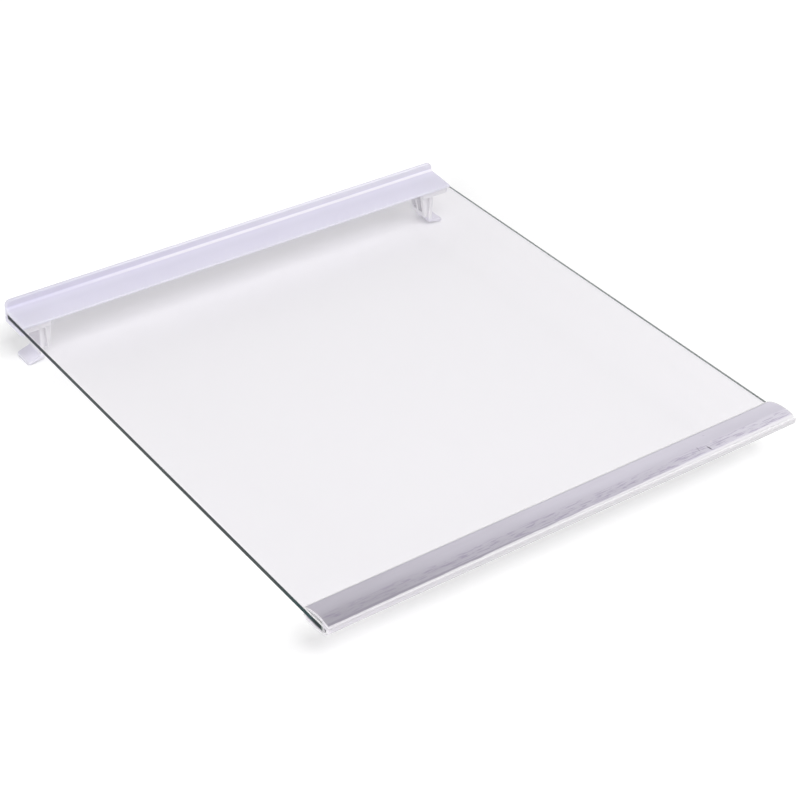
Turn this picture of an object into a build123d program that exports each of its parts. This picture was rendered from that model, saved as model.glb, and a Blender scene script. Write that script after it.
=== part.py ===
from build123d import *
import os

# Glass refrigerator shelf: a glass panel with a plastic trim pushed over its front and rear edges.
# Frame in millimetres: X across the shelf, Y from front to back, Z up.
# The origin is the middle of the glass's underside.

# Glass panel
glass_width = 400.0
glass_depth = 430.0
glass_thickness = 4.0
glass_corner_radius = 1.5
glass_arris = 0.3
glass_clearance = 0.3

# Front trim, an extruded profile with two hollow chambers
arch_radius = 33.5
arch_reach = 21.9
arch_lip = 0.54
crown_setback = 4.85
nose_reach = 7.3
nose_drop = 1.5
nose_edge_radius = 1.2
nose_web = 0.8
nose_hollow_run = 3.4
front_wall = 1.3
front_flange_reach = 21.5
front_flange_wall = 2.5
front_flange_tip_radius = 1.0
keel_run = 10.0
seat_bead_height = 0.8
seat_bead_width = 1.8
seat_bead_inset = 3.0
seat_bead_angle = 70.0

# Silver strip laid in the arch
strip_thickness = 0.35
strip_end_margin = 0.9
strip_rear_margin = 1.9
strip_front_margin = 1.9

# Rear trim, a moulding with an upstand
rear_flange_reach = 26.6
rear_flange_edge = 1.5
rear_flange_root = 3.7
rear_flange_edge_radius = 0.6
rear_wall = 3.4
upstand_height = 10.5
upstand_corner_radius = 4.5
upstand_top_radius = 1.1
upstand_root_radius = 2.0
lip_reach = 12.0
lip_wall = 2.2
lip_radius = 0.8

# Pads under the rear corners of the glass
pad_setback = 2.4
pad_height = 4.4
pad_plate = 2.0
pad_rim = 2.0
pad_corner_radius = 4.0

# Ribbed legs with outward foot tabs
leg_setback = 4.8
leg_inset = 14.9
leg_depth = 19.6
leg_height = 29.4
leg_wall = 3.0
leg_top_width = 11.5
leg_foot_width = 7.5
leg_groove_width = 2.8
leg_groove_depth = 1.8
gusset_count = 3
gusset_wall = 2.0
gusset_height = 21.0
toe_wall = 3.0
foot_reach = 11.2
foot_drop = 3.6
foot_wall = 2.1
foot_root_radius = 1.2
foot_corner_radius = 2.5

# Places shared by the pieces
half_width = glass_width / 2
glass_front = -glass_depth / 2
glass_rear = glass_depth / 2
crown_y = glass_front + crown_setback
arch_tip_y = glass_front + arch_reach
arch_centre_z = glass_thickness + arch_lip - (arch_radius**2 - (arch_tip_y - crown_y) ** 2) ** 0.5
nose_edge_y = glass_front - nose_reach


def on_arch(y):
    """Point of the front trim's arch at depth y, in the profile's own plane."""
    return (y, arch_centre_z + (arch_radius**2 - (y - crown_y) ** 2) ** 0.5)


os.makedirs("parts", exist_ok=True)

# Glass panel: a plate with small corner radii and ground edges
with BuildPart() as glass_panel:
    with BuildSketch():
        RectangleRounded(glass_width, glass_depth, glass_corner_radius)
    extrude(amount=glass_thickness)
    chamfer(glass_panel.faces().filter_by(Axis.Z).edges(), glass_arris)

# Silver strip: a thin sector of the arch, short of the trim's ends and edges
strip_rear_y = arch_tip_y - strip_rear_margin
strip_front_y = nose_edge_y + strip_front_margin
with BuildPart() as decor_strip:
    with BuildSketch(Plane.YZ):
        with Locations((crown_y, arch_centre_z)):
            Circle(arch_radius)
            Circle(arch_radius - strip_thickness, mode=Mode.SUBTRACT)
        with Locations((strip_front_y, arch_centre_z)):
            Rectangle(
                strip_rear_y - strip_front_y,
                arch_radius,
                align=(Align.MIN, Align.MIN),
                mode=Mode.INTERSECT,
            )
    extrude(amount=half_width - strip_end_margin, both=True)

# Front trim: arch over the glass, rounded nose, lower flange with seat beads
channel_floor = -seat_bead_height
front_flange_under = channel_floor - front_flange_wall
front_flange_tip = glass_front + front_flange_reach
nose_height = on_arch(nose_edge_y)[1] + nose_drop
nose_radius = (nose_reach**2 + nose_height**2) / (2 * nose_height)
with BuildPart() as front_trim:
    with BuildSketch(Plane.YZ) as front_section:
        with BuildLine():
            arch = ThreePointArc(on_arch(arch_tip_y), on_arch(crown_y), on_arch(nose_edge_y))
            nose = TangentArc((glass_front, -nose_drop), arch @ 1, tangent=(-1, 0))
            Polyline(
                nose @ 0,
                (glass_front + keel_run, front_flange_under),
                (front_flange_tip, front_flange_under),
                (front_flange_tip, channel_floor),
                (glass_front, channel_floor),
                (glass_front, glass_thickness),
                (arch_tip_y, glass_thickness),
                arch @ 0,
            )
        make_face()
        fillet(front_section.vertices().sort_by_distance(on_arch(nose_edge_y))[0], nose_edge_radius)
        flange_corner = (front_flange_tip, front_flange_under)
        fillet(front_section.vertices().sort_by_distance(flange_corner)[0], front_flange_tip_radius)
        with Locations(
            (front_flange_tip - seat_bead_inset, channel_floor),
            (glass_front + seat_bead_inset, channel_floor),
        ):
            Trapezoid(
                seat_bead_width,
                seat_bead_height,
                seat_bead_angle,
                align=(Align.CENTER, Align.MIN),
            )
    extrude(amount=half_width, both=True)
    # Hollow between the arch and the glass, behind the nose
    with BuildSketch(Plane.YZ):
        with Locations((crown_y, arch_centre_z)):
            Circle(arch_radius - front_wall)
        with Locations((glass_front, glass_thickness + front_wall)):
            Rectangle(
                2 * arch_radius,
                2 * arch_radius,
                align=(Align.MIN, Align.MIN),
                mode=Mode.INTERSECT,
            )
    # Hollow in the nose, ahead of the web that the glass's front edge meets
    with BuildSketch(Plane.YZ):
        with Locations((glass_front, nose_radius - nose_drop)):
            Circle(nose_radius - front_wall)
        with Locations((glass_front - nose_web, glass_thickness)):
            Rectangle(
                nose_hollow_run,
                2 * nose_radius,
                align=(Align.MAX, Align.MAX),
                mode=Mode.INTERSECT,
            )
    extrude(amount=half_width, both=True, mode=Mode.SUBTRACT)
    add(decor_strip.part, mode=Mode.SUBTRACT)

# Right rear leg: pad, outer wall turned out into a foot tab, and gussets on the inner side
rear_wall_front = glass_rear + glass_clearance
rear_wall_back = rear_wall_front + rear_wall
rear_flange_front = glass_rear - rear_flange_reach
pad_front = rear_flange_front + pad_setback
leg_front = rear_flange_front + leg_setback
leg_outer = half_width - leg_inset
leg_inner = leg_outer - leg_wall
leg_top_x = leg_outer - leg_top_width
leg_foot_x = leg_outer - leg_foot_width
groove_inner = leg_inner - leg_groove_width
foot_tip = leg_outer + foot_reach
gusset_depth = leg_depth - leg_groove_depth
gusset_pitch = (gusset_depth - gusset_wall) / (gusset_count - 1)
groove_floor = leg_front + leg_groove_depth
toe_bottom = -gusset_height - toe_wall
with BuildPart() as rear_leg:
    # Pad
    with BuildSketch(Plane.XY.offset(-pad_height)) as pad_outline:
        with Locations((leg_top_x, pad_front)):
            Rectangle(
                half_width - leg_top_x,
                rear_wall_back - pad_front,
                align=(Align.MIN, Align.MIN),
            )
        fillet(pad_outline.vertices().group_by(Axis.Y)[0], pad_corner_radius)
    extrude(amount=pad_height)
    # Hollow under the pad, outside the leg
    with BuildSketch(Plane.XY.offset(-pad_height)):
        with Locations((leg_outer, pad_front + pad_rim)):
            Rectangle(
                half_width - pad_rim - leg_outer,
                rear_wall_front - pad_rim - pad_front,
                align=(Align.MIN, Align.MIN),
            )
    extrude(amount=pad_height - pad_plate, mode=Mode.SUBTRACT)
    # Outer wall and foot tab
    with BuildSketch(Plane.XZ.offset(-leg_front)) as wall_section:
        with BuildLine():
            Polyline(
                (leg_inner, -pad_plate),
                (leg_outer, -pad_plate),
                (leg_outer, foot_wall - leg_height),
                (foot_tip, foot_wall - leg_height - foot_drop),
                (foot_tip, -leg_height - foot_drop),
                (leg_inner, -leg_height),
                close=True,
            )
        make_face()
        foot_root = (leg_outer, foot_wall - leg_height)
        fillet(wall_section.vertices().sort_by_distance(foot_root)[0], foot_root_radius)
    extrude(amount=-leg_depth)
    foot_corners = rear_leg.edges(Select.LAST).filter_by(Axis.Z).group_by(Axis.X)[-1]
    fillet(foot_corners, foot_corner_radius)
    # Slanting gussets, with pockets between them
    gusset_planes = [
        Plane.XZ.offset(-groove_floor - index * gusset_pitch) for index in range(gusset_count)
    ]
    with BuildSketch(*gusset_planes):
        with BuildLine():
            Polyline(
                (leg_top_x, -pad_plate),
                (leg_inner, -pad_plate),
                (leg_inner, -gusset_height),
                (leg_foot_x, -gusset_height),
                close=True,
            )
        make_face()
    extrude(amount=-gusset_wall)
    # Toe that closes the pockets below
    with BuildSketch(Plane.XZ.offset(-groove_floor)):
        with Locations((leg_foot_x, toe_bottom)):
            Rectangle(leg_inner - leg_foot_x, toe_wall, align=(Align.MIN, Align.MIN))
    extrude(amount=-gusset_depth)
    # Front rib, parted from the outer wall by a groove
    with BuildSketch(Plane.XZ.offset(-leg_front)):
        with BuildLine():
            Polyline(
                (leg_top_x, -pad_plate),
                (groove_inner, -pad_plate),
                (groove_inner, toe_bottom),
                (leg_foot_x, toe_bottom),
                (leg_foot_x, -gusset_height),
                close=True,
            )
        make_face()
    extrude(amount=-leg_groove_depth)

# Rear trim: channel over the glass's rear edge with an upstand, and a leg under each end
with BuildPart() as rear_trim:
    with BuildSketch(Plane.YZ) as rear_section:
        with BuildLine():
            Polyline(
                (rear_flange_front, glass_thickness),
                (rear_flange_front, glass_thickness + rear_flange_edge),
                (rear_wall_front, glass_thickness + rear_flange_root),
                (rear_wall_front, glass_thickness + upstand_height),
                (rear_wall_back, glass_thickness + upstand_height),
                (rear_wall_back, -lip_wall),
                (glass_rear - lip_reach, -lip_wall),
                (glass_rear - lip_reach, 0),
                (rear_wall_front, 0),
                (rear_wall_front, glass_thickness),
                close=True,
            )
        make_face()
        flange_edge = (rear_flange_front, glass_thickness + rear_flange_edge)
        fillet(rear_section.vertices().sort_by_distance(flange_edge)[0], rear_flange_edge_radius)
        upstand_root = (rear_wall_front, glass_thickness + rear_flange_root)
        fillet(rear_section.vertices().sort_by_distance(upstand_root)[0], upstand_root_radius)
        lip_corner = (glass_rear - lip_reach, -lip_wall)
        fillet(rear_section.vertices().sort_by_distance(lip_corner)[0], lip_radius)
    extrude(amount=half_width, both=True)
    fillet(rear_trim.edges().filter_by(Axis.Y).group_by(Axis.Z)[-1], upstand_corner_radius)
    fillet(rear_trim.edges().filter_by(Axis.X).group_by(Axis.Z)[-1], upstand_top_radius)
    add(rear_leg.part)
    mirror(rear_leg.part, about=Plane.YZ)

glass_panel.part.label = "glass_panel"
front_trim.part.label = "front_trim"
decor_strip.part.label = "decor_strip"
rear_trim.part.label = "rear_trim"

export_step(glass_panel.part, "parts/glass_panel.step")
export_step(front_trim.part, "parts/front_trim.step")
export_step(decor_strip.part, "parts/decor_strip.step")
export_step(rear_trim.part, "parts/rear_trim.step")
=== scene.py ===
"""Looks of a glass refrigerator shelf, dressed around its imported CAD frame.

The two plastic trims keep their CAD meshes and get finishes. The glass sheet and the silver foil are
modelled here, because the glass has ground edges with a finish of their own and the foil has ripples. The
axes are those of the CAD frame: X across the shelf, Y from front to back, Z up. Lengths are in metres,
except in the finishes with their zones and marks, where they are in millimetres.
"""

from __future__ import annotations

import logging
import math
from collections.abc import Callable
from dataclasses import dataclass, field, replace
from enum import Enum

import bpy
from mathutils import Matrix, Vector

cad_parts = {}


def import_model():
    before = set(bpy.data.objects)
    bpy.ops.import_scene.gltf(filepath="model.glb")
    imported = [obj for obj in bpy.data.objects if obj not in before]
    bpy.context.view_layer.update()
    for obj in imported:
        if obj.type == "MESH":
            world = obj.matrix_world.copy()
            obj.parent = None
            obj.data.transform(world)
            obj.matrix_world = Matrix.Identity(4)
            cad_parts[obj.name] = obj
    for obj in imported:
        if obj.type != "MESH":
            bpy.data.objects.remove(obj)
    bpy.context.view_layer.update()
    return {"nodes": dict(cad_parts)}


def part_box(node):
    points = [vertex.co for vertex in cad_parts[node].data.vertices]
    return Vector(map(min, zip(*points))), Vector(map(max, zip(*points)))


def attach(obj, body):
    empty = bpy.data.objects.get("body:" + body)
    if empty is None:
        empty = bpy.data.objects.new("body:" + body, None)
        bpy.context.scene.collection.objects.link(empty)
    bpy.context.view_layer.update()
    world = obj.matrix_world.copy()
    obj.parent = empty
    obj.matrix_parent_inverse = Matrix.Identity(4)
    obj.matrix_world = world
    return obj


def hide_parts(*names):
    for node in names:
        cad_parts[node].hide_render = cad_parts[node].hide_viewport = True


LOG = logging.getLogger("glass_shelf")
BODY = "root"
MM = 0.001
PHOTO_SIDE = 800.0
NOISE_MIDDLE = (0.3, 0.7)
MIX_FACTOR, MIX_FIRST, MIX_SECOND, MIX_RESULT = 0, 6, 7, 2

Socket = bpy.types.NodeSocket
Colour = tuple[float, float, float]
Triple = tuple[float, float, float]
Pair = tuple[float, float]

EVEN: Triple = (1.0, 1.0, 1.0)
EXTRUDED: Triple = (0.02, 1.0, 1.0)


class Node(str, Enum):
    """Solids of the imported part."""

    GLASS = "glass_panel"
    REAR_TRIM = "rear_trim"
    FRONT_TRIM = "front_trim"
    STRIP = "decor_strip"


class Slot(str, Enum):
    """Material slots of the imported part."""

    GLASS = "shelf_glass"
    FOIL = "silver_foil"


class Axis(str, Enum):
    """Axes of the frame."""

    X = "X"
    Y = "Y"
    Z = "Z"


class MeshPart(str, Enum):
    """Parts of a mesh that can be selected."""

    POINTS = "VERT"
    EDGES = "EDGE"


Limit = tuple[Axis, float, float]


@dataclass(frozen=True)
class Grain:
    """Noise pattern of a finish.

    The scale is in grains per metre, and the detail is the number of finer octaves. A small stretch factor
    draws the pattern out along its axis, and the warp bends it out of shape.
    """

    scale: float
    detail: float = 3.0
    stretch: Triple = EVEN
    warp: float = 0.0


@dataclass(frozen=True)
class Mark:
    """Oval mark on a surface, seen from above; lengths in millimetres, the turn in degrees.

    The core is the share of the oval from its middle that has the mark's full strength.
    """

    middle: Pair
    half_length: float
    half_width: float
    turn: float
    strength: float
    core: float = 0.35


@dataclass(frozen=True)
class Zone:
    """Region of a surface with a tone of its own, mostly painted light or shade here; lengths in millimetres.

    Each limit is an axis and the two coordinates between which the region fades in. The round limit is a
    middle (y, z) of a line across the shelf and the two distances from it between which the region fades in.
    """

    tone: Colour
    limits: tuple[Limit, ...]
    middle: Pair | None = None
    reach: Pair = (0.0, 0.0)


class Graph:
    """Node tree of a material or of the world, with short calls that add and join nodes."""

    def __init__(self, tree: bpy.types.NodeTree) -> None:
        """Clears the node tree to build in."""
        self.tree = tree
        tree.nodes.clear()

    def add(self, kind: str, settings: dict[str, object] | None = None, **inputs: object) -> bpy.types.Node:
        """Adds a node.

        Args:
            kind: Node type, without the leading "ShaderNode".
            settings: Properties of the node itself.
            **inputs: Values or sockets for the inputs, by name with underscores for spaces.

        Returns:
            The new node.
        """
        node = self.tree.nodes.new("ShaderNode" + kind)
        for name, value in (settings or {}).items():
            setattr(node, name, value)
        for name, value in inputs.items():
            self.feed(node.inputs[name.replace("_", " ")], value)
        return node

    def feed(self, socket: Socket, value: object) -> None:
        """Joins a socket to an input, or sets the input's own value.

        Args:
            socket: Input to feed.
            value: Output socket, number, vector or colour.
        """
        if isinstance(value, Socket):
            self.tree.links.new(value, socket)
        elif socket.type == "RGBA" and len(value) == 3:
            socket.default_value = (*value, 1.0)
        else:
            socket.default_value = value

    def point(self) -> Socket:
        """Object coordinates, in metres."""
        return self.add("TexCoord").outputs["Object"]

    def along(self, axis: Axis) -> Socket:
        """One of the object coordinates, in metres."""
        return self.add("SeparateXYZ", Vector=self.point()).outputs[axis.value]

    def step(self, value: Socket, start: float, stop: float) -> Socket:
        """Soft step from 0 at the start to 1 at the stop, which may lie below the start."""
        settings = {"interpolation_type": "SMOOTHSTEP"}
        return self.add("MapRange", settings, Value=value, From_Min=start, From_Max=stop).outputs["Result"]

    def band(self, axis: Axis, start: float, stop: float) -> Socket:
        """Soft step along an axis, between two coordinates in millimetres."""
        return self.step(self.along(axis), start * MM, stop * MM)

    def length(self, vector: Socket) -> Socket:
        """Length of a vector."""
        return self.add("VectorMath", {"operation": "LENGTH"}, Vector=vector).outputs["Value"]

    def spot(self, mark: Mark) -> Socket:
        """Oval spot on the plan of the shelf.

        Args:
            mark: Where the spot lies and how strong it is.

        Returns:
            The value socket, 0 outside the spot.
        """
        place = self.add(
            "Mapping",
            {"vector_type": "TEXTURE"},
            Vector=self.point(),
            Location=(mark.middle[0] * MM, mark.middle[1] * MM, 0.0),
            Rotation=(0.0, 0.0, math.radians(mark.turn)),
            Scale=(mark.half_length * MM, mark.half_width * MM, 1.0),
        ).outputs["Vector"]
        return self.maths("MULTIPLY", self.step(self.length(place), 1.0, mark.core), mark.strength)

    def inside(self, zone: Zone) -> Socket:
        """Share of a zone at each point.

        Args:
            zone: Region with soft limits.

        Returns:
            The value socket, 1 inside the zone and 0 outside.
        """
        steps = [self.band(*limit) for limit in zone.limits]
        if zone.middle:
            flat = self.add(
                "Mapping",
                Vector=self.point(),
                Location=(0.0, -zone.middle[0] * MM, -zone.middle[1] * MM),
                Scale=(0.0, 1.0, 1.0),
            ).outputs["Vector"]
            steps.append(self.step(self.length(flat), zone.reach[0] * MM, zone.reach[1] * MM))
        return self.product(*steps)

    def paint(self, tone: Socket, zones: tuple[Zone, ...]) -> Socket:
        """Lays zones over a colour.

        Args:
            tone: Colour underneath.
            zones: Regions with tones of their own, the last one on top.

        Returns:
            The colour socket.
        """
        for zone in zones:
            tone = self.blend(self.inside(zone), tone, zone.tone)
        return tone

    def noise(self, grain: Grain) -> Socket:
        """Soft noise between 0 and 1.

        Args:
            grain: Pattern of the noise.

        Returns:
            The value socket.
        """
        place = self.add("Mapping", Vector=self.point(), Scale=grain.stretch).outputs["Vector"]
        node = self.add(
            "TexNoise", Vector=place, Scale=grain.scale, Detail=grain.detail, Distortion=grain.warp
        )
        return node.outputs["Fac"]

    def spread(self, value: Socket, low: float, high: float) -> Socket:
        """Maps the middle of a noise to a chosen range.

        Args:
            value: Noise socket.
            low: Result at the noise's low end.
            high: Result at the noise's high end.

        Returns:
            The mapped value socket.
        """
        start, stop = NOISE_MIDDLE
        node = self.add("MapRange", Value=value, From_Min=start, From_Max=stop, To_Min=low, To_Max=high)
        return node.outputs["Result"]

    def blend(self, factor: Socket, first: Socket | Colour, second: Socket | Colour) -> Socket:
        """Mixes two colours by a factor.

        Args:
            factor: Share of the second colour.
            first: Colour at factor 0.
            second: Colour at factor 1.

        Returns:
            The colour socket.
        """
        node = self.add("Mix", {"data_type": "RGBA"})
        self.feed(node.inputs[MIX_FACTOR], factor)
        self.feed(node.inputs[MIX_FIRST], first)
        self.feed(node.inputs[MIX_SECOND], second)
        return node.outputs[MIX_RESULT]

    def maths(self, operation: str, *values: Socket | float) -> Socket:
        """One step of arithmetic.

        Args:
            operation: Blender's name of the operation.
            *values: Numbers or sockets.

        Returns:
            The value socket.
        """
        node = self.add("Math", {"operation": operation})
        for socket, value in zip(node.inputs, values):
            self.feed(socket, value)
        return node.outputs["Value"]

    def product(self, first: Socket, *others: Socket | float) -> Socket:
        """Multiplies any number of values.

        Args:
            first: First factor.
            *others: The other factors, numbers or sockets.

        Returns:
            The value socket.
        """
        for other in others:
            first = self.maths("MULTIPLY", first, other)
        return first

    def bump(self, height: Socket, strength: float, depth: float) -> Socket:
        """Normal of a surface with fine relief, its depth in millimetres."""
        return self.add("Bump", Strength=strength, Distance=depth * MM, Height=height).outputs["Normal"]

    def finish(self, surface: Socket) -> None:
        """Joins a shader to the material's output."""
        self.add("OutputMaterial", Surface=surface)


def new_material(name: str) -> tuple[bpy.types.Material, Graph]:
    """Makes an empty node material.

    Args:
        name: Material name.

    Returns:
        The material and its node tree.
    """
    material = bpy.data.materials.new(name)
    material.use_nodes = True
    return material, Graph(material.node_tree)


@dataclass(frozen=True)
class PlasticFinish:
    """Satin white plastic with a faint unevenness of tone, a fine skin texture and light showing through."""

    name: str
    tone: Colour
    shade: Colour
    zones: tuple[Zone, ...]
    stretch: Triple = EVEN
    clouds: Grain = Grain(14.0)
    gloss: Grain = Grain(126.0)
    roughness: Pair = (0.19, 0.22)
    skin: Grain = Grain(1400.0, 2.0)
    skin_strength: float = 0.35
    skin_depth: float = 0.02
    ior: float = 1.46
    see_through: float = 0.6
    see_through_depth: float = 4.0

    def material(self) -> bpy.types.Material:
        """Builds the finish's material.

        Returns:
            The new material.
        """
        material, graph = new_material(self.name)
        clouds = graph.spread(graph.noise(self.clouds), 0.0, 1.0)
        gloss = graph.noise(replace(self.gloss, stretch=self.stretch))
        skin = graph.noise(replace(self.skin, stretch=self.stretch))
        shader = graph.add(
            "BsdfPrincipled",
            Base_Color=graph.paint(graph.blend(clouds, self.tone, self.shade), self.zones),
            Roughness=graph.spread(gloss, *self.roughness),
            Normal=graph.bump(skin, self.skin_strength, self.skin_depth),
            IOR=self.ior,
            Subsurface_Weight=self.see_through,
            Subsurface_Radius=(1.0, 1.0, 1.0),
            Subsurface_Scale=self.see_through_depth * MM,
        )
        graph.finish(shader.outputs["BSDF"])
        return material


@dataclass(frozen=True)
class ClearGlassFinish:
    """Polished glass face, with faint wiping marks and a slight waviness."""

    name: str = "clear_glass"
    tint: Colour = (0.876, 0.860, 0.89)
    lamp_tint: Colour = (0.99, 0.99, 0.99)
    wiping: Grain = Grain(22.0, 4.0, (1.0, 0.25, 1.0))
    smear: Pair = (0.0, 0.03)
    wave: Grain = Grain(9.0, 1.0)
    wave_strength: float = 0.1
    wave_depth: float = 0.05
    ior: float = 1.5

    def material(self) -> bpy.types.Material:
        """Builds the finish's material.

        Returns:
            The new material, which lets the lamps' light through to what lies below.
        """
        material, graph = new_material(self.name)
        shader = graph.add(
            "BsdfPrincipled",
            Base_Color=self.tint,
            Roughness=graph.spread(graph.noise(self.wiping), *self.smear),
            Normal=graph.bump(graph.noise(self.wave), self.wave_strength, self.wave_depth),
            IOR=self.ior,
            Transmission_Weight=1.0,
        )
        path = graph.add("LightPath").outputs
        lamp_ray = graph.maths("MAXIMUM", path["Is Shadow Ray"], path["Is Diffuse Ray"])
        passing = graph.add("BsdfTransparent", Color=self.lamp_tint)
        mix = graph.add("MixShader")
        for socket, value in zip(mix.inputs, (lamp_ray, shader.outputs["BSDF"], passing.outputs["BSDF"])):
            graph.feed(socket, value)
        graph.finish(mix.outputs["Shader"])
        return material


@dataclass(frozen=True)
class GroundEdgeFinish:
    """Ground glass edge, painted dark green for light that has come a long way through the sheet.

    Painted shade makes it darkest at both ends, where the trims shade the glass, and painted light makes it
    paler where it is seen from inside.
    """

    name: str = "ground_glass_edge"
    deep: Colour = (0.022, 0.034, 0.036)
    pale: Colour = (0.038, 0.055, 0.055)
    painted_light_within: Colour = (0.17, 0.20, 0.195)
    zones: tuple[Zone, ...] = (
        # Painted shade, bluish, near the rear trim
        Zone((0.004, 0.010, 0.022), ((Axis.Y, 110.0, 185.0),)),
        # Painted shade, teal, where the front trim shades the glass
        Zone((0.002, 0.036, 0.038), ((Axis.Y, -150.0, -196.0),)),
        # Painted shade, darkest, at the front end
        Zone((0.0, 0.012, 0.014), ((Axis.Y, -200.0, -207.0),)),
    )
    clouds: Grain = Grain(34.0, 3.0, (1.0, 1.0, 0.3))
    grinding: Grain = Grain(900.0, 2.0, (1.0, 1.0, 3.0))
    grinding_strength: float = 0.3
    grinding_depth: float = 0.03
    roughness: Pair = (0.28, 0.45)
    ior: float = 1.2
    see_through: float = 0.1

    def material(self) -> bpy.types.Material:
        """Builds the finish's material.

        Returns:
            The new material.
        """
        material, graph = new_material(self.name)
        clouds = graph.spread(graph.noise(self.clouds), 0.0, 1.0)
        grinding = graph.noise(self.grinding)
        tone = graph.paint(graph.blend(clouds, self.deep, self.pale), self.zones)
        shader = graph.add(
            "BsdfPrincipled",
            Base_Color=graph.blend(graph.add("NewGeometry").outputs["Backfacing"], tone, self.painted_light_within),
            Roughness=graph.spread(grinding, *self.roughness),
            Normal=graph.bump(grinding, self.grinding_strength, self.grinding_depth),
            IOR=self.ior,
            Transmission_Weight=self.see_through,
        )
        graph.finish(shader.outputs["BSDF"])
        return material


@dataclass(frozen=True)
class FoilFinish:
    """Satin silver foil with fine lines along the shelf's front, a few scratches, and painted light and
    shade.

    The fields that end in _x or _y are the two coordinates between which an effect fades in.
    """

    name: str = "satin_silver_foil"
    metal: float = 0.7
    lines: Grain = Grain(800.0, 3.0, EXTRUDED)
    line_strength: float = 0.25
    line_depth: float = 0.01
    roughness: Pair = (0.3, 0.4)
    # Painted shade at the left end, fading along X to painted light at the right
    painted_shade_left: Colour = (0.525, 0.50, 0.565)
    light: Colour = (0.72, 0.69, 0.78)
    painted_shade_to_light_x: Pair = (-260.0, 80.0)
    clouds: Grain = Grain(60.0, 3.0, (0.3, 1.0, 1.0))
    cloud_share: float = 0.12
    front_half_y: Pair = (-209.5, -212.5)
    # Painted sheen on the right of the front half
    painted_sheen: Colour = (0.83, 0.80, 0.89)
    painted_sheen_x: Pair = (60.0, 165.0)
    # Painted reflection in short dark streaks over the front half
    painted_stroke_reflection: Colour = (0.32, 0.25, 0.42)
    reflection_strokes: Grain = Grain(1150.0, 4.0, (0.09, 1.0, 1.0), 0.35)
    stroke_level: Pair = (0.5, 0.62)
    stroke_end_y: Pair = (-219.5, -217.5)
    stroke_share: float = 0.42
    # Painted shade along the front edge on the left, and along the rear edge
    edge_shade_tone: Colour = (0.45, 0.42, 0.50)
    front_border_x: Pair = (110.0, -90.0)
    front_border_y: Pair = (-218.2, -219.2)
    rear_border_y: Pair = (-197.2, -195.6)
    rear_border_share: float = 0.6
    # Painted glint along the front edge, not metallic, wider towards the right
    edge_glint_tone: Colour = (0.82, 0.80, 0.84)
    edge_glint_ragging: Grain = Grain(300.0, 3.0, (0.25, 1.0, 1.0))
    edge_glint_ragging_reach: float = 0.25
    edge_glint_y: Pair = (-219.0, -219.9)
    edge_glint_slant: float = -0.006
    scratch: Colour = (0.13, 0.11, 0.16)
    dark_marks: tuple[Mark, ...] = (
        Mark((122.25, -215.65), 3.0, 0.75, -71.0, 1.0),
        Mark((114.3, -212.8), 3.2, 0.8, 84.0, 0.35),
        Mark((129.0, -202.2), 1.3, 0.5, -36.0, 0.35),
    )
    glint: Colour = (0.86, 0.80, 0.87)
    light_marks: tuple[Mark, ...] = (Mark((128.0, -211.0), 1.6, 1.0, 30.0, 0.5),)

    def material(self) -> bpy.types.Material:
        """Builds the finish's material.

        Returns:
            The new material.
        """
        material, graph = new_material(self.name)
        lines = graph.noise(self.lines)
        # Painted glint along the front edge, where the metal is also taken away
        painted_edge_glint = self.painted_edge_glint(graph)
        shader = graph.add(
            "BsdfPrincipled",
            Base_Color=self.colour(graph, painted_edge_glint),
            Metallic=graph.product(graph.maths("SUBTRACT", 1.0, painted_edge_glint), self.metal),
            Roughness=graph.spread(lines, *self.roughness),
            Normal=graph.bump(lines, self.line_strength, self.line_depth),
        )
        graph.finish(shader.outputs["BSDF"])
        return material

    def painted_edge_glint(self, graph: Graph) -> Socket:
        """Front margin with a painted glint, where the metal is also taken away, wider towards the right.

        Args:
            graph: Node tree of the material.

        Returns:
            The value socket, 1 on the painted glint.
        """
        reach = self.edge_glint_ragging_reach * MM
        ragged_edge = graph.spread(graph.noise(self.edge_glint_ragging), -reach, reach)
        slant = graph.product(graph.along(Axis.X), self.edge_glint_slant)
        edge = graph.maths("ADD", graph.maths("ADD", graph.along(Axis.Y), slant), ragged_edge)
        return graph.step(edge, self.edge_glint_y[0] * MM, self.edge_glint_y[1] * MM)

    def colour(self, graph: Graph, painted_edge_glint: Socket) -> Socket:
        """Adds the foil's cloudy tone and scratches, and painted shade, sheen, streak reflections, edge shade
        and glints.

        Args:
            graph: Node tree of the material.
            painted_edge_glint: Share of the painted glint along the front edge.

        Returns:
            The colour socket.
        """
        clouds = graph.spread(graph.noise(self.clouds), -self.cloud_share, self.cloud_share)
        # Painted shade at the left end, fading to painted light at the right
        tone = graph.blend(
            graph.maths("ADD", graph.band(Axis.X, *self.painted_shade_to_light_x), clouds), self.painted_shade_left, self.light
        )
        front_half = graph.band(Axis.Y, *self.front_half_y)
        # Painted sheen on the right of the front half
        tone = graph.blend(graph.product(graph.band(Axis.X, *self.painted_sheen_x), front_half), tone, self.painted_sheen)
        # Painted reflection in short dark streaks over the front half
        reflection_strokes = graph.product(
            graph.step(graph.noise(self.reflection_strokes), *self.stroke_level),
            front_half,
            graph.band(Axis.Y, *self.stroke_end_y),
            self.stroke_share,
        )
        tone = graph.blend(reflection_strokes, tone, self.painted_stroke_reflection)
        # Painted shade along the front edge on the left, and along the rear edge
        painted_edge_shade = graph.maths(
            "MAXIMUM",
            graph.product(graph.band(Axis.Y, *self.front_border_y), graph.band(Axis.X, *self.front_border_x)),
            graph.product(graph.band(Axis.Y, *self.rear_border_y), self.rear_border_share),
        )
        tone = graph.blend(painted_edge_shade, tone, self.edge_shade_tone)
        # Painted glint along the front edge
        tone = graph.blend(painted_edge_glint, tone, self.edge_glint_tone)
        for marks, colour in ((self.dark_marks, self.scratch), (self.light_marks, self.glint)):
            for mark in marks:
                tone = graph.blend(graph.spot(mark), tone, colour)
        return tone


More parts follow.
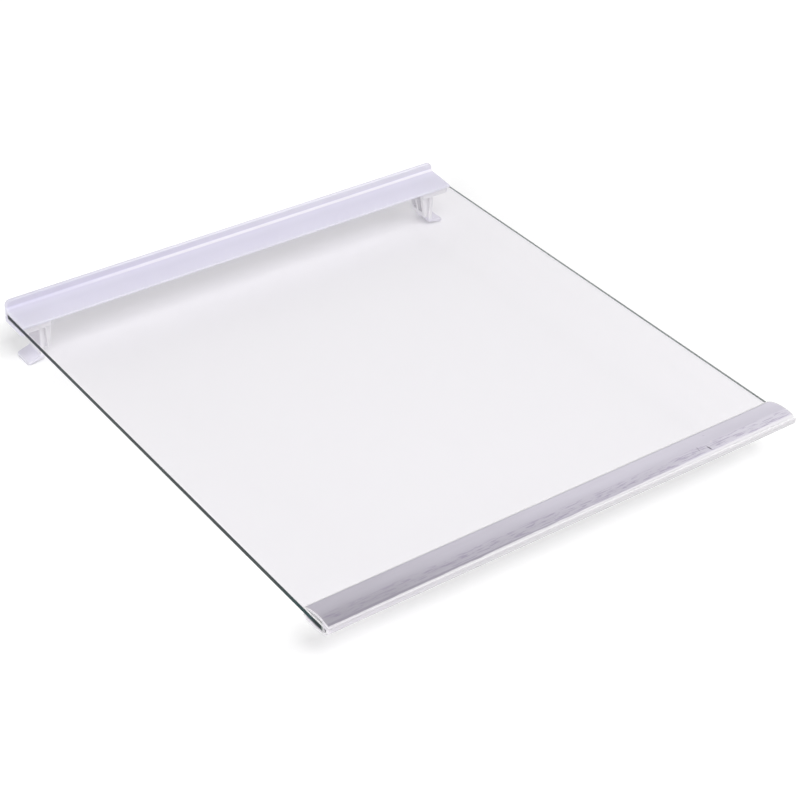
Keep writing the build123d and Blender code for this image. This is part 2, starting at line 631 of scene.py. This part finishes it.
class Bench:
    """Modelling steps shared by the new pieces."""

    @staticmethod
    def take(piece: bpy.types.Object) -> None:
        """Makes a piece the active one and the only one selected.

        Args:
            piece: Piece to work on.
        """
        bpy.ops.object.select_all(action="DESELECT")
        piece.select_set(True)
        bpy.context.view_layer.objects.active = piece

    @staticmethod
    def open(piece: bpy.types.Object, part: MeshPart) -> None:
        """Enters edit mode on one piece with nothing selected.

        Args:
            piece: Piece to edit.
            part: What gets selected.
        """
        Bench.take(piece)
        bpy.ops.object.mode_set(mode="EDIT")
        bpy.ops.mesh.select_mode(type=part.value)
        bpy.ops.mesh.select_all(action="DESELECT")

    @staticmethod
    def close() -> None:
        """Leaves edit mode."""
        bpy.ops.object.mode_set(mode="OBJECT")

    @staticmethod
    def pick_points(piece: bpy.types.Object, test: Callable[[Vector], bool]) -> None:
        """Selects points of a piece in edit mode.

        Args:
            piece: Piece in edit mode.
            test: Says from a point's place whether it is wanted.
        """
        Bench.close()
        for point in piece.data.vertices:
            point.select = test(point.co)
        bpy.ops.object.mode_set(mode="EDIT")

    @staticmethod
    def pick_edges(piece: bpy.types.Object, test: Callable[[Vector, Vector], bool]) -> None:
        """Selects edges of a piece in edit mode.

        Args:
            piece: Piece in edit mode.
            test: Says from an edge's two ends whether it is wanted.
        """
        Bench.close()
        points = piece.data.vertices
        for edge in piece.data.edges:
            first, second = edge.vertices
            edge.select = test(points[first].co, points[second].co)
        bpy.ops.object.mode_set(mode="EDIT")

    @staticmethod
    def apply_place(piece: bpy.types.Object) -> None:
        """Moves a piece's place, turn and scale into its mesh."""
        Bench.take(piece)
        bpy.ops.object.transform_apply(location=True, rotation=True, scale=True)

    @staticmethod
    def apply_modifier(piece: bpy.types.Object, modifier: bpy.types.Modifier) -> None:
        """Turns a modifier's result into the piece's mesh."""
        Bench.take(piece)
        bpy.ops.object.modifier_apply(modifier=modifier.name)

    @staticmethod
    def smooth(piece: bpy.types.Object, angle: float) -> None:
        """Shades a piece smooth except across edges sharper than an angle in degrees."""
        Bench.take(piece)
        bpy.ops.object.shade_smooth_by_angle(angle=math.radians(angle))


@dataclass
class GlassSheet:
    """Float glass sheet with ground edges.

    An edge that rises less than the level limit lies flat, and a face whose normal rises less than the wall's
    lean is a side wall.
    """

    name: str = "glass_sheet"
    corner_radius: float = 1.5 * MM
    corner_steps: int = 8
    arris: float = 0.3 * MM
    arris_steps: int = 2
    arris_profile: float = 0.5
    level_limit: float = 0.01 * MM
    wall_lean: float = 0.2
    smooth_angle: float = 13.0
    clear: ClearGlassFinish = field(default_factory=ClearGlassFinish)
    ground: GroundEdgeFinish = field(default_factory=GroundEdgeFinish)

    def build(self) -> bpy.types.Object:
        """Models the sheet and dresses it.

        Returns:
            The finished piece.
        """
        low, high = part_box(Node.GLASS.value)
        bpy.ops.mesh.primitive_cube_add(size=1.0, location=(low + high) / 2)
        piece = bpy.context.object
        piece.name = self.name
        piece.scale = high - low
        Bench.apply_place(piece)
        Bench.open(piece, MeshPart.EDGES)
        Bench.pick_edges(piece, lambda a, b: abs(a.z - b.z) > (high.z - low.z) / 2)
        bpy.ops.mesh.bevel(offset=self.corner_radius, segments=self.corner_steps, affect="EDGES")
        Bench.pick_edges(piece, lambda a, b: abs(a.z - b.z) < self.level_limit)
        bpy.ops.mesh.bevel(
            offset=self.arris, segments=self.arris_steps, affect="EDGES", profile=self.arris_profile
        )
        Bench.close()
        self.dress(piece)
        Bench.smooth(piece, self.smooth_angle)
        return piece

    def dress(self, piece: bpy.types.Object) -> None:
        """Gives the faces clear glass and the side walls the ground finish.

        Args:
            piece: Modelled sheet.
        """
        piece.data.materials.append(self.clear.material())
        piece.data.materials.append(self.ground.material())
        for face in piece.data.polygons:
            face.material_index = 1 if abs(face.normal.z) < self.wall_lean else 0
        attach(piece, BODY)
        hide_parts(Node.GLASS.value)


@dataclass
class FoilStrip:
    """Silver foil laid in the front trim's arch, with ripples along its front half.

    The ripples grow from their start over their run, both shares of the arch's radius ahead of the crown.
    """

    name: str = "silver_foil_strip"
    arch_radius: float = 33.5 * MM
    crown_y: float = -210.15 * MM
    thickness: float = 0.33 * MM
    cells_along: int = 640
    cells_across: int = 40
    smooth_angle: float = 40.0
    ripple_size: Triple = (45.0 * MM, 2.2 * MM, 2.2 * MM)
    ripple_height: float = 0.05 * MM
    ripple_octaves: int = 2
    ripple_start: float = -0.02
    ripple_run: float = 0.12
    ripple_least: float = 0.03
    finish: FoilFinish = field(default_factory=FoilFinish)

    def build(self) -> bpy.types.Object:
        """Models the foil and dresses it.

        Returns:
            The finished piece.
        """
        low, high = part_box(Node.STRIP.value)
        axis = Vector((0.0, self.crown_y, high.z - self.arch_radius))
        front = math.asin((low.y - axis.y) / self.arch_radius)
        rear = math.asin((high.y - axis.y) / self.arch_radius)
        piece = self.bend(high.x - low.x, axis, front, rear)
        self.ripple(piece, axis)
        wall = piece.modifiers.new("wall", "SOLIDIFY")
        wall.thickness = self.thickness
        wall.offset = -1.0
        Bench.apply_modifier(piece, wall)
        self.dress(piece)
        Bench.smooth(piece, self.smooth_angle)
        return piece

    def bend(self, width: float, axis: Vector, front: float, rear: float) -> bpy.types.Object:
        """Spins one row of points around the arch's centre line.

        Args:
            width: Length of the row across the shelf.
            axis: Centre line of the arch.
            front: Angle of the foil's front edge from upright.
            rear: Angle of its rear edge.

        Returns:
            The sheet without thickness, its faces turned up.
        """
        bpy.ops.mesh.primitive_grid_add(x_subdivisions=self.cells_along, y_subdivisions=1, size=1.0)
        piece = bpy.context.object
        piece.name = self.name
        piece.scale = (width, 1.0, 1.0)
        Bench.apply_place(piece)
        Bench.open(piece, MeshPart.POINTS)
        Bench.pick_points(piece, lambda place: place.y > 0.0)
        bpy.ops.mesh.delete(type="VERT")
        bpy.ops.mesh.select_all(action="SELECT")
        kept_row = Vector((0.0, -0.5, 0.0))
        start = Vector((0.0, math.sin(front), math.cos(front))) * self.arch_radius + axis
        bpy.ops.transform.translate(value=start - kept_row)
        bpy.ops.mesh.spin(steps=self.cells_across, angle=rear - front, center=axis, axis=(1.0, 0.0, 0.0))
        bpy.ops.mesh.select_all(action="SELECT")
        bpy.ops.mesh.normals_make_consistent(inside=False)
        Bench.close()
        if sum(face.normal.z for face in piece.data.polygons) < 0.0:
            piece.data.flip_normals()
        return piece

    def ripple(self, piece: bpy.types.Object, axis: Vector) -> None:
        """Presses shallow ripples into the foil, deepest in its front half.

        Args:
            piece: Foil sheet before it gets its thickness.
            axis: Centre line of the arch.
        """
        group = piece.vertex_groups.new(name="ripple")
        for point in piece.data.vertices:
            lean = (axis.y - point.co.y) / self.arch_radius
            weight = min(max((lean - self.ripple_start) / self.ripple_run, self.ripple_least), 1.0)
            group.add([point.index], weight, "REPLACE")
        grain = bpy.data.textures.new("ripple", "CLOUDS")
        grain.noise_scale = 1.0
        grain.noise_depth = self.ripple_octaves
        guide = bpy.data.objects.new("ripple_guide", None)
        guide.matrix_world = Matrix.Diagonal((*self.ripple_size, 1.0))
        bpy.context.scene.collection.objects.link(guide)
        press = piece.modifiers.new("ripple", "DISPLACE")
        press.texture = grain
        press.texture_coords = "OBJECT"
        press.texture_coords_object = guide
        press.vertex_group = group.name
        press.strength = self.ripple_height
        press.mid_level = 1.0
        Bench.apply_modifier(piece, press)
        piece.vertex_groups.clear()
        bpy.data.objects.remove(guide)
        bpy.data.textures.remove(grain)

    def dress(self, piece: bpy.types.Object) -> None:
        """Gives the foil its finish and its place in the frame.

        Args:
            piece: Modelled foil.
        """
        piece.data.materials.append(self.finish.material())
        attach(piece, BODY)
        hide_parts(Node.STRIP.value)


LEG_PAINTED_SHADE: Colour = (0.64, 0.62, 0.67)
LEG_SIDE: tuple[Limit, ...] = ((Axis.Z, -5.0, -7.0), (Axis.Z, -26.0, -18.0))
UPSTAND_FACE: tuple[Limit, ...] = ((Axis.Y, 214.2, 215.0), (Axis.Z, 9.2, 10.0))
HOLLOW_PAINTED_LIGHT: Colour = (0.92, 0.91, 0.94)

REAR_ZONES: tuple[Zone, ...] = (
    # Pads and legs, paler with painted light
    Zone(
        (0.86, 0.85, 0.88),
        ((Axis.Z, 1.0, -0.5), (Axis.Y, 214.0, 213.0), (Axis.X, -199.5, -196.5), (Axis.X, 199.5, 196.5)),
    ),
    # Foot tabs, with a little painted light
    Zone((0.77, 0.75, 0.855), ((Axis.Z, -25.0, -28.5),)),
    # Painted shade on the outer sides of the legs
    Zone(LEG_PAINTED_SHADE, ((Axis.X, -184.2, -184.9), *LEG_SIDE)),
    Zone(LEG_PAINTED_SHADE, ((Axis.X, 184.2, 184.9), *LEG_SIDE)),
    # Rear half of the upper flange, paler with painted light
    Zone((0.775, 0.755, 0.885), ((Axis.Y, 202.0, 213.0), (Axis.Z, 4.5, 5.0), (Axis.Z, 9.4, 8.6))),
    # Painted highlight along the root of the upstand, paler to the right
    Zone(
        (0.91, 0.89, 0.965),
        ((Axis.Y, 213.0, 213.8), (Axis.Z, 9.4, 8.6), (Axis.Z, 6.8, 7.2), (Axis.X, -210.0, -30.0)),
    ),
    # Painted shade on the front of the upstand, lifted by painted light towards the right
    Zone((0.675, 0.655, 0.755), UPSTAND_FACE),
    Zone((0.735, 0.72, 0.79), (*UPSTAND_FACE, (Axis.X, -150.0, 120.0))),
    # Painted highlight on the top of the upstand, stronger to the right
    Zone((0.81, 0.79, 0.89), ((Axis.Z, 13.6, 14.4), (Axis.X, -240.0, -20.0))),
)

FRONT_ZONES: tuple[Zone, ...] = (
    # Left part
    Zone((0.735, 0.70, 0.765), ((Axis.X, -60.0, -195.0),)),
    # Painted shade on the lower half of the nose
    Zone((0.67, 0.65, 0.685), ((Axis.Z, 3.6, 1.8), (Axis.Y, -214.0, -216.0))),
    # Painted highlight on the lip behind the foil
    Zone((0.84, 0.83, 0.85), ((Axis.Y, -197.0, -195.5),)),
    # Painted highlight on the bead along the foil's front edge
    Zone((0.95, 0.935, 0.965), ((Axis.Y, -218.0, -219.5), (Axis.Z, 7.0, 7.3), (Axis.X, -300.0, -70.0))),
    # Painted shade on the nose just under the bead
    Zone((0.62, 0.60, 0.635), ((Axis.Z, 7.1, 6.85), (Axis.Z, 5.4, 6.4), (Axis.X, 170.0, -170.0))),
    # Painted light on the walls of the hollow under the arch
    Zone(HOLLOW_PAINTED_LIGHT, ((Axis.Y, -215.2, -214.9), (Axis.Z, 3.8, 4.1)), (-210.15, -24.297), (32.5, 32.3)),
    # Painted light on the walls of the hollow in the nose
    Zone(HOLLOW_PAINTED_LIGHT, ((Axis.Y, -215.6, -215.9), (Axis.Z, 4.3, 4.0)), (-215.0, 5.875), (6.3, 6.1)),
)


@dataclass
class Trims:
    """The two plastic trims, which keep their CAD meshes."""

    rear: PlasticFinish = PlasticFinish(
        name="moulded_plastic",
        tone=(0.73, 0.71, 0.835),
        shade=(0.705, 0.685, 0.81),
        zones=REAR_ZONES,
    )
    front: PlasticFinish = PlasticFinish(
        name="extruded_plastic",
        tone=(0.715, 0.70, 0.725),
        shade=(0.69, 0.675, 0.705),
        zones=FRONT_ZONES,
        stretch=EXTRUDED,
    )

    def dress(self, nodes: dict[str, bpy.types.Object]) -> list[bpy.types.Object]:
        """Puts the finishes in the nodes' own material slots.

        Args:
            nodes: CAD nodes by name.

        Returns:
            The dressed nodes.
        """
        trims = [nodes[Node.REAR_TRIM.value], nodes[Node.FRONT_TRIM.value]]
        for trim, finish in zip(trims, (self.rear, self.front)):
            trim.material_slots[0].material = finish.material()
        return trims


@dataclass(frozen=True)
class SoftBox:
    """Broad lamp that gives soft shadows; one that is not mirrored doesn't show in the glass."""

    name: str
    place: Triple
    aim: Triple
    size: Pair
    power: float
    mirrored: bool = True

    def build(self) -> None:
        """Hangs the lamp."""
        lamp = bpy.data.lights.new(self.name, "AREA")
        lamp.shape = "RECTANGLE"
        lamp.size, lamp.size_y = self.size
        lamp.energy = self.power
        item = bpy.data.objects.new(self.name, lamp)
        item.visible_glossy = item.visible_transmission = self.mirrored
        item.location = self.place
        way = Vector(self.aim) - Vector(self.place)
        item.rotation_euler = way.to_track_quat("-Z", "Y").to_euler()
        bpy.context.scene.collection.objects.link(item)


@dataclass
class Studio:
    """Pale floor, soft light and the camera."""

    camera_place: Triple = (-0.7201, -0.9947, 0.8341)
    camera_right: Triple = (0.81302, -0.58185, 0.02094)
    camera_up: Triple = (0.32074, 0.47761, 0.81793)
    focal_length: float = 90.583
    sensor: float = 36.0
    shift: float = 0.5 / PHOTO_SIDE
    floor_side: float = 9.0
    floor_gap: float = 0.05 * MM
    floor_colour: Colour = (0.9, 0.9, 0.9)
    glow_under: float = 0.14
    glow_around: float = 0.10
    glow_far: float = 0.06
    under_middle: Pair = (35.0 * MM, 45.0 * MM)
    under_half: Pair = (203.0 * MM, 190.0 * MM)
    under_fade: float = 60.0 * MM
    far_reach: Pair = (0.35, 0.75)
    sky_colour: Colour = (1.0, 1.0, 1.0)
    sky_low: float = 0.75
    sky_high: float = 0.25
    sky_fade: Pair = (0.6, 0.95)
    sky_lean: Triple = (0.1, 0.2, 0.0)
    lamps: tuple[SoftBox, ...] = (
        SoftBox("key_softbox", (0.0, -1.55, 2.856), (0.0, 0.0, 0.0), (2.2, 1.6), 47.0),
        SoftBox("front_right_softbox", (1.5, -1.25, 1.35), (0.0, 0.0, 0.0), (0.3, 0.3), 3.0),
        SoftBox("right_softbox", (1.33, -0.21, 1.4), (0.1, -0.2, 0.0), (0.45, 0.45), 1.0),
        SoftBox("left_softbox", (-1.8, -0.5, 0.5), (0.0, 0.0, 0.0), (1.2, 0.8), 7.0, mirrored=False),
    )

    def build(self) -> None:
        """Sets up the floor, the light and the camera."""
        self.build_floor()
        self.build_sky()
        for lamp in self.lamps:
            lamp.build()
        self.build_camera()

    def build_floor(self) -> None:
        """Lays the floor under the feet."""
        foot_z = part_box(Node.REAR_TRIM.value)[0].z
        bpy.ops.mesh.primitive_plane_add(size=self.floor_side, location=(0.0, 0.0, foot_z - self.floor_gap))
        floor = bpy.context.object
        floor.name = "floor"
        material, graph = new_material("floor_paint")
        path = graph.add("LightPath").outputs
        seen = graph.maths("MAXIMUM", path["Is Camera Ray"], path["Is Glossy Ray"])
        seen = graph.maths("MAXIMUM", seen, path["Is Transmission Ray"])
        glow = graph.add("Emission", Strength=graph.product(seen, self.floor_level(graph)))
        paint = graph.add("BsdfDiffuse", Color=self.floor_colour)
        both = graph.add("AddShader")
        graph.feed(both.inputs[0], paint.outputs["BSDF"])
        graph.feed(both.inputs[1], glow.outputs["Emission"])
        graph.finish(both.outputs["Shader"])
        floor.data.materials.append(material)

    def floor_level(self, graph: Graph) -> Socket:
        """The floor's glow, which rises around the shelf and again further away.

        Args:
            graph: Node tree of the floor's paint.

        Returns:
            The value socket.
        """
        outside = []
        for axis, middle, half in zip((Axis.X, Axis.Y), self.under_middle, self.under_half):
            away = graph.maths("ABSOLUTE", graph.maths("SUBTRACT", graph.along(axis), middle))
            outside.append(graph.step(away, half, half + self.under_fade))
        around = graph.maths("MAXIMUM", *outside)
        far = graph.step(graph.length(graph.point()), *self.far_reach)
        level = graph.maths("MULTIPLY_ADD", around, self.glow_around, self.glow_under)
        return graph.maths("MULTIPLY_ADD", far, self.glow_far, level)

    def build_sky(self) -> None:
        """Surrounds the shelf with light that fades overhead and is stronger at the back and the right."""
        world = bpy.data.worlds.new("studio")
        world.use_nodes = True
        bpy.context.scene.world = world
        graph = Graph(world.node_tree)
        way = graph.add("TexCoord").outputs["Generated"]
        dome = graph.add(
            "MapRange",
            Value=graph.add("SeparateXYZ", Vector=way).outputs["Z"],
            From_Min=self.sky_fade[0],
            From_Max=self.sky_fade[1],
            To_Min=self.sky_low,
            To_Max=self.sky_high,
        ).outputs["Result"]
        lean = graph.add("VectorMath", {"operation": "DOT_PRODUCT"})
        graph.feed(lean.inputs[0], way)
        graph.feed(lean.inputs[1], self.sky_lean)
        dome = graph.product(dome, graph.maths("ADD", lean.outputs["Value"], 1.0))
        seen = graph.add("LightPath").outputs["Is Camera Ray"]
        sky = graph.add("Background", Color=self.sky_colour, Strength=graph.maths("MAXIMUM", seen, dome))
        graph.add("OutputWorld", Surface=sky.outputs["Background"])

    def build_camera(self) -> None:
        """Places the camera at the photograph's angle."""
        right, up = Vector(self.camera_right), Vector(self.camera_up)
        turn = Matrix((right, up, right.cross(up))).transposed().to_4x4()
        lens = bpy.data.cameras.new("camera")
        lens.sensor_width = self.sensor
        lens.lens = self.focal_length
        lens.shift_x = -self.shift
        lens.shift_y = self.shift
        camera = bpy.data.objects.new("camera", lens)
        camera.matrix_world = Matrix.Translation(self.camera_place) @ turn
        bpy.context.scene.collection.objects.link(camera)
        bpy.context.scene.camera = camera
        bpy.context.scene.view_settings.view_transform = "Standard"


def main() -> None:
    """Builds the shelf's looks in order."""
    logging.basicConfig(level=logging.INFO, format="%(name)s: %(message)s")
    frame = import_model()
    for piece in (*Trims().dress(frame["nodes"]), GlassSheet().build(), FoilStrip().build()):
        LOG.info("%s has %d faces", piece.name, len(piece.data.polygons))
    Studio().build()


if __name__ == "__main__":
    main()
